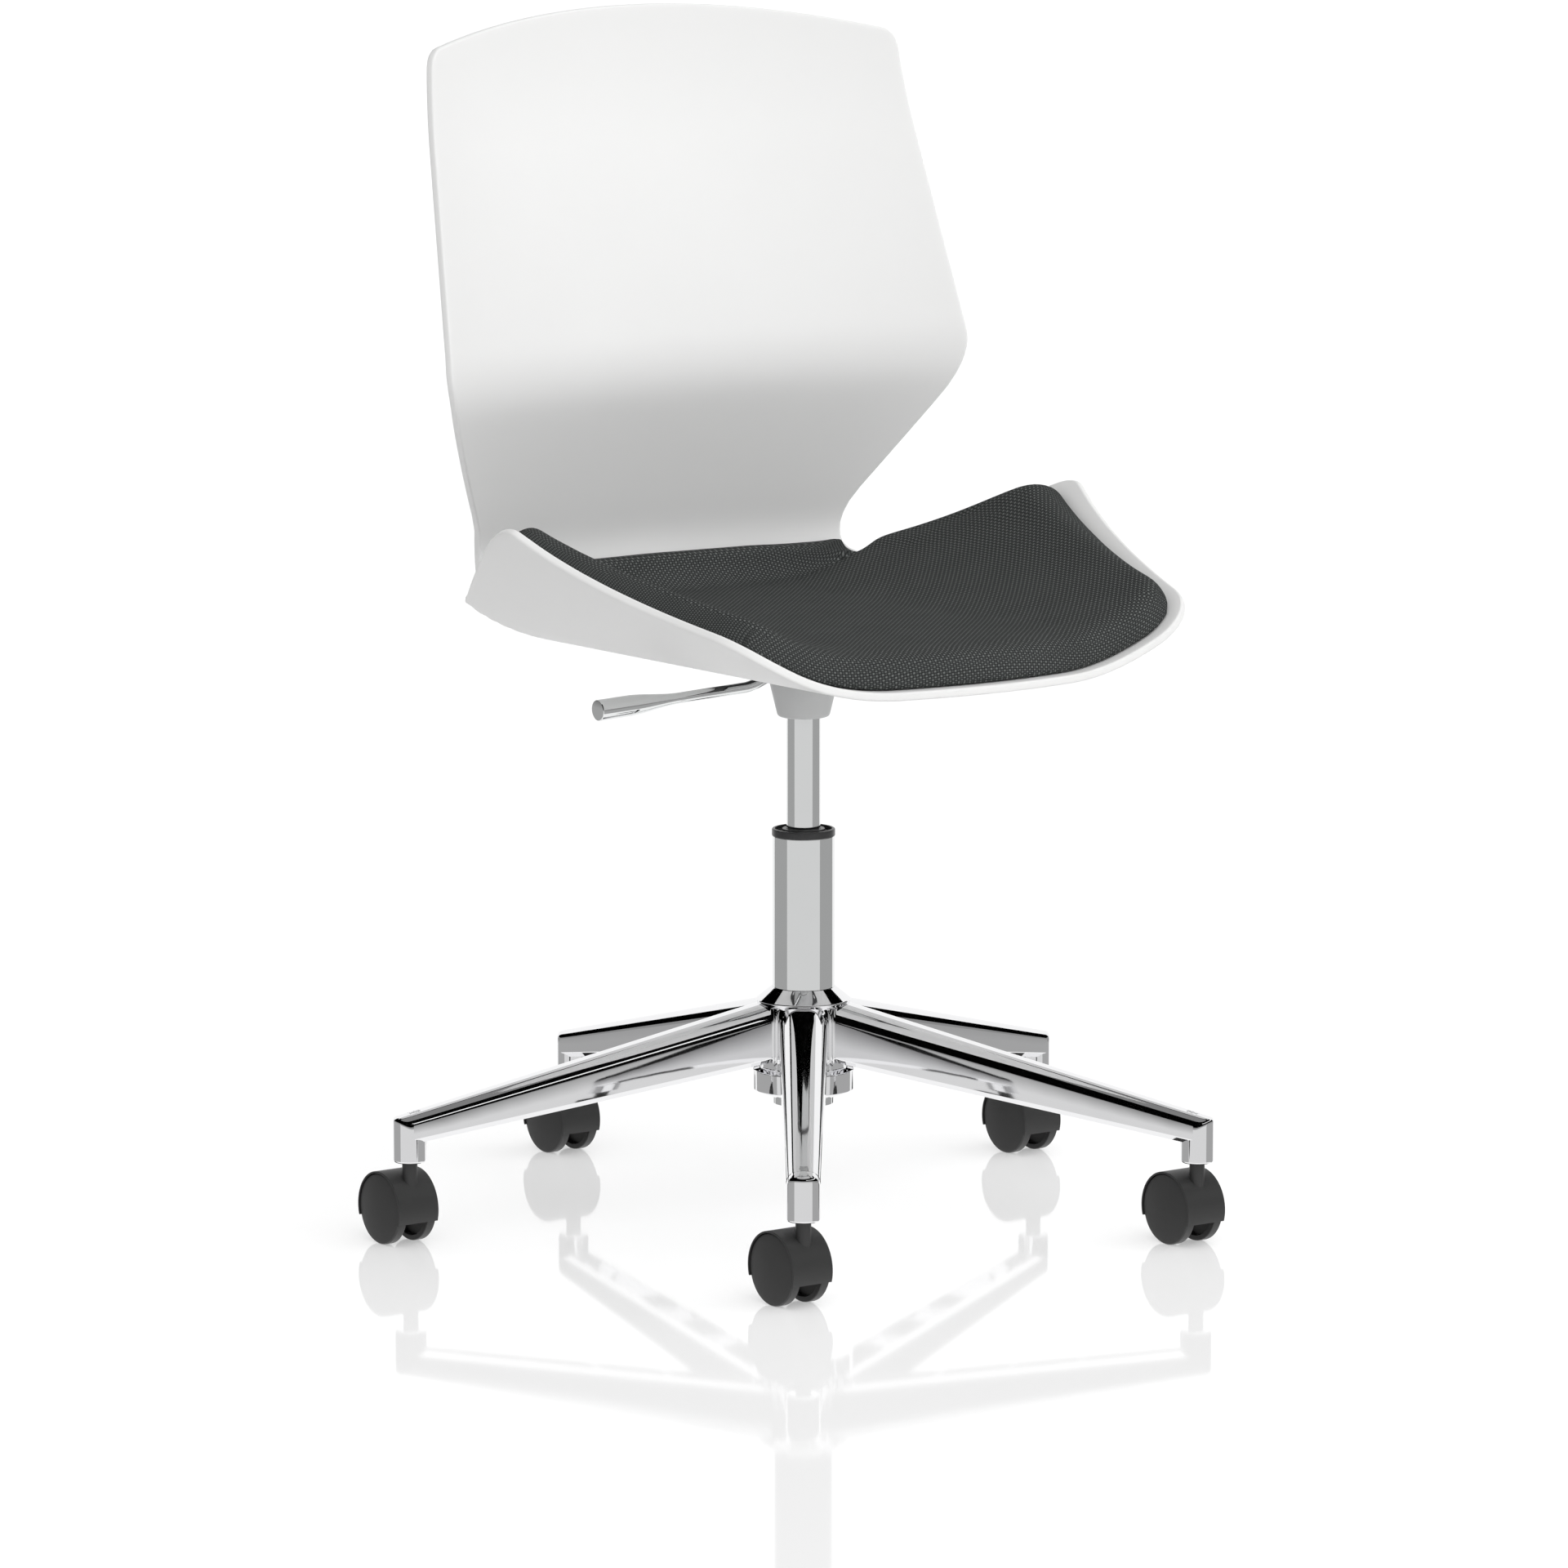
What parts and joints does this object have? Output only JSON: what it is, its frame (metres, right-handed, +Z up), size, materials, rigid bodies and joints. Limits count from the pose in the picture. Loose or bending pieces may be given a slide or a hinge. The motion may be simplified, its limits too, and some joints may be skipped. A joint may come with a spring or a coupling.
{
  "type": "swivel shell chair",
  "caption": "Height-adjustable swivel chair with a one-piece moulded shell, upholstered seat pad, gas lift with a release lever, star base and twin-wheel castors.",
  "frame": {"origin": "on the floor, under the column's axis", "axes": "+Z up along the column, -Y to the front of the seat, -X to the sitter's right"},
  "size_m": [0.6788, 0.6678, 0.9857],
  "materials": {
    "shell_white": "satin white",
    "pad_fabric": "woven charcoal",
    "board_wood": "moulded ply",
    "polished_aluminium": "polished",
    "chrome": "bright",
    "steel": "zinc plated",
    "black_steel": "black powder",
    "cage_brass": "plain",
    "black_plastic": "satin",
    "wheel_nylon": "satin",
    "grey_plastic": "satin",
    "bumper_rubber": "plain"
  },
  "bodies": {
    "base": {"star_base": "polished_aluminium", "stem_sleeves": "black_plastic", "column_tube": "chrome", "guide_bush": "black_plastic", "bearing_lower_washer": "steel", "bearing_cage": "cage_brass", "bearing_balls": "steel"},
    "rod": {"piston_rod": "steel", "piston": "steel", "bearing_upper_washer": "steel", "end_bumper": "bumper_rubber", "retaining_clip": "steel"},
    "seat": {"gas_cylinder": "chrome", "rod_gland": "black_plastic", "taper_socket": "steel", "seat_plate": "black_steel", "plate_bolts": "steel", "shell_inserts": "cage_brass", "mechanism_cover": "grey_plastic", "lever_bracket": "black_steel", "lever_pin": "steel", "seat_shell": "shell_white", "pad_board": "board_wood", "pad_screws": "steel", "seat_pad": "pad_fabric"},
    "lever": {"release_lever": "chrome"},
    "button": {"valve_button": "steel"},
    "castor_1": {"castor_1_hood": "black_plastic", "castor_1_stem": "steel", "castor_1_axle": "steel"},
    "castor_1_wheel_right": {"castor_1_wheel_right": "wheel_nylon"},
    "castor_1_wheel_left": {"castor_1_wheel_left": "wheel_nylon"},
    "castor_2": {"castor_2_hood": "black_plastic", "castor_2_stem": "steel", "castor_2_axle": "steel"},
    "castor_2_wheel_right": {"castor_2_wheel_right": "wheel_nylon"},
    "castor_2_wheel_left": {"castor_2_wheel_left": "wheel_nylon"},
    "castor_3": {"castor_3_hood": "black_plastic", "castor_3_stem": "steel", "castor_3_axle": "steel"},
    "castor_3_wheel_right": {"castor_3_wheel_right": "wheel_nylon"},
    "castor_3_wheel_left": {"castor_3_wheel_left": "wheel_nylon"},
    "castor_4": {"castor_4_hood": "black_plastic", "castor_4_stem": "steel", "castor_4_axle": "steel"},
    "castor_4_wheel_right": {"castor_4_wheel_right": "wheel_nylon"},
    "castor_4_wheel_left": {"castor_4_wheel_left": "wheel_nylon"},
    "castor_5": {"castor_5_hood": "black_plastic", "castor_5_stem": "steel", "castor_5_axle": "steel"},
    "castor_5_wheel_right": {"castor_5_wheel_right": "wheel_nylon"},
    "castor_5_wheel_left": {"castor_5_wheel_left": "wheel_nylon"}
  },
  "joints": [
    {"name": "seat_swivel", "type": "hinge", "parent": "base", "child": "rod", "pos_m": [0, 0, 0.116], "axis": [0, 0, 1], "continuous": true},
    {"name": "seat_lift", "type": "slide", "parent": "rod", "child": "seat", "axis": [0, 0, 1], "range_m": [-0.085, 0.025]},
    {"name": "lever_pull", "type": "hinge", "parent": "seat", "child": "lever", "pos_m": [-0.028, 0, 0.4573], "axis": [0, 1, 0], "range_deg": [0, 6], "stiffness_Nm_per_rad": 4},
    {"name": "button_press", "type": "slide", "parent": "seat", "child": "button", "axis": [0, 0, -1], "range_m": [0, 0.003]},
    {"name": "castor_1_swivel", "type": "hinge", "parent": "base", "child": "castor_1", "pos_m": [0, 0.335, 0.069], "axis": [0, 0, 1], "continuous": true},
    {"name": "castor_1_wheel_right_roll", "type": "hinge", "parent": "castor_1", "child": "castor_1_wheel_right", "pos_m": [0, 0.3525, 0.029], "axis": [1, 0, 0], "continuous": true},
    {"name": "castor_1_wheel_left_roll", "type": "hinge", "parent": "castor_1", "child": "castor_1_wheel_left", "pos_m": [0, 0.3525, 0.029], "axis": [1, 0, 0], "continuous": true},
    {"name": "castor_2_swivel", "type": "hinge", "parent": "base", "child": "castor_2", "pos_m": [-0.3186, 0.10352, 0.069], "axis": [0, 0, 1], "continuous": true},
    {"name": "castor_2_wheel_right_roll", "type": "hinge", "parent": "castor_2", "child": "castor_2_wheel_right", "pos_m": [-0.3186, 0.12102, 0.029], "axis": [1, 0, 0], "continuous": true},
    {"name": "castor_2_wheel_left_roll", "type": "hinge", "parent": "castor_2", "child": "castor_2_wheel_left", "pos_m": [-0.3186, 0.12102, 0.029], "axis": [1, 0, 0], "continuous": true},
    {"name": "castor_3_swivel", "type": "hinge", "parent": "base", "child": "castor_3", "pos_m": [-0.19691, -0.27102, 0.069], "axis": [0, 0, 1], "continuous": true},
    {"name": "castor_3_wheel_right_roll", "type": "hinge", "parent": "castor_3", "child": "castor_3_wheel_right", "pos_m": [-0.19691, -0.25352, 0.029], "axis": [1, 0, 0], "continuous": true},
    {"name": "castor_3_wheel_left_roll", "type": "hinge", "parent": "castor_3", "child": "castor_3_wheel_left", "pos_m": [-0.19691, -0.25352, 0.029], "axis": [1, 0, 0], "continuous": true},
    {"name": "castor_4_swivel", "type": "hinge", "parent": "base", "child": "castor_4", "pos_m": [0.19691, -0.27102, 0.069], "axis": [0, 0, 1], "continuous": true},
    {"name": "castor_4_wheel_right_roll", "type": "hinge", "parent": "castor_4", "child": "castor_4_wheel_right", "pos_m": [0.19691, -0.25352, 0.029], "axis": [1, 0, 0], "continuous": true},
    {"name": "castor_4_wheel_left_roll", "type": "hinge", "parent": "castor_4", "child": "castor_4_wheel_left", "pos_m": [0.19691, -0.25352, 0.029], "axis": [1, 0, 0], "continuous": true},
    {"name": "castor_5_swivel", "type": "hinge", "parent": "base", "child": "castor_5", "pos_m": [0.3186, 0.10352, 0.069], "axis": [0, 0, 1], "continuous": true},
    {"name": "castor_5_wheel_right_roll", "type": "hinge", "parent": "castor_5", "child": "castor_5_wheel_right", "pos_m": [0.3186, 0.12102, 0.029], "axis": [1, 0, 0], "continuous": true},
    {"name": "castor_5_wheel_left_roll", "type": "hinge", "parent": "castor_5", "child": "castor_5_wheel_left", "pos_m": [0.3186, 0.12102, 0.029], "axis": [1, 0, 0], "continuous": true}
  ],
  "couplings": [
    {"joint": "button_press", "follows": "lever_pull", "m_per_rad": 0.0286}
  ]
}
